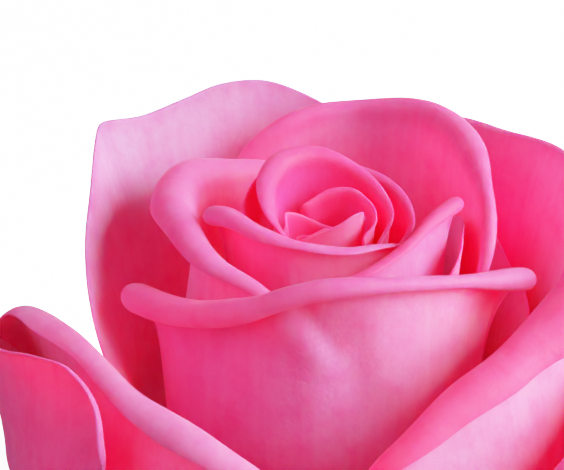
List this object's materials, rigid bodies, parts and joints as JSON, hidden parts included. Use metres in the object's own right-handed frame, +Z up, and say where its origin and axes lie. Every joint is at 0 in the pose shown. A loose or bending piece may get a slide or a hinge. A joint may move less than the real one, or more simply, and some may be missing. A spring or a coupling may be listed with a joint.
{
  "type": "rose bloom",
  "caption": "Half-open pink rose with rolled petal rims round a high-centred bud, on its green hip with bent-down sepals, cut just below the hip.",
  "frame": {"origin": "centre of the cut face below the hip, on the surface that the rose stands on", "axes": "+Z up through the bloom, +X the viewer's right in the main view, +Y away from the viewer"},
  "size_m": [0.0936, 0.0895, 0.0649],
  "materials": {
    "petal_heart_curl": "soft matte petal, deep pink",
    "petal_heart_left": "soft matte petal, deep pink",
    "petal_heart_front": "soft matte petal, deep pink",
    "petal_heart_right": "soft matte petal, deep pink",
    "petal_bud_eye": "soft matte petal, deep pink",
    "petal_bud_right": "soft matte petal, deep pink",
    "petal_bud_left": "soft matte petal, deep pink",
    "petal_bud_front": "soft matte petal, pink",
    "petal_cup_right": "soft matte petal, pink",
    "petal_cup_hidden": "soft matte petal, pink",
    "petal_cup_left": "soft matte petal, pink",
    "petal_cup_back": "soft matte petal, pink",
    "petal_cup_front": "soft matte petal, pink",
    "petal_outer_shadow": "soft matte petal, pink",
    "petal_outer_left": "soft matte petal, light pink",
    "petal_outer_right": "soft matte petal, light pink",
    "petal_fold_right": "soft matte petal, light pink",
    "petal_fold_left": "soft matte petal, light pink",
    "petal_base_left": "soft matte petal, light pink",
    "petal_base_front": "soft matte petal, light pink",
    "petal_base_right": "soft matte petal, light pink",
    "petal_base_back_right": "soft matte petal, light pink",
    "petal_base_back_left": "soft matte petal, light pink",
    "calyx": "matte green hip and sepals",
    "stamens": "matte yellow"
  },
  "bodies": {
    "root": {"petal_heart_curl": "petal_heart_curl", "petal_heart_left": "petal_heart_left", "petal_heart_front": "petal_heart_front", "petal_heart_right": "petal_heart_right", "petal_bud_eye": "petal_bud_eye", "petal_bud_right": "petal_bud_right", "petal_bud_left": "petal_bud_left", "petal_bud_front": "petal_bud_front", "petal_cup_right": "petal_cup_right", "petal_cup_hidden": "petal_cup_hidden", "petal_cup_left": "petal_cup_left", "petal_cup_back": "petal_cup_back", "petal_cup_front": "petal_cup_front", "petal_outer_shadow": "petal_outer_shadow", "petal_outer_left": "petal_outer_left", "petal_outer_right": "petal_outer_right", "petal_fold_right": "petal_fold_right", "petal_fold_left": "petal_fold_left", "petal_base_left": "petal_base_left", "petal_base_front": "petal_base_front", "petal_base_right": "petal_base_right", "petal_base_back_right": "petal_base_back_right", "petal_base_back_left": "petal_base_back_left", "calyx": "calyx", "stamens": "stamens"}
  },
  "joints": []
}
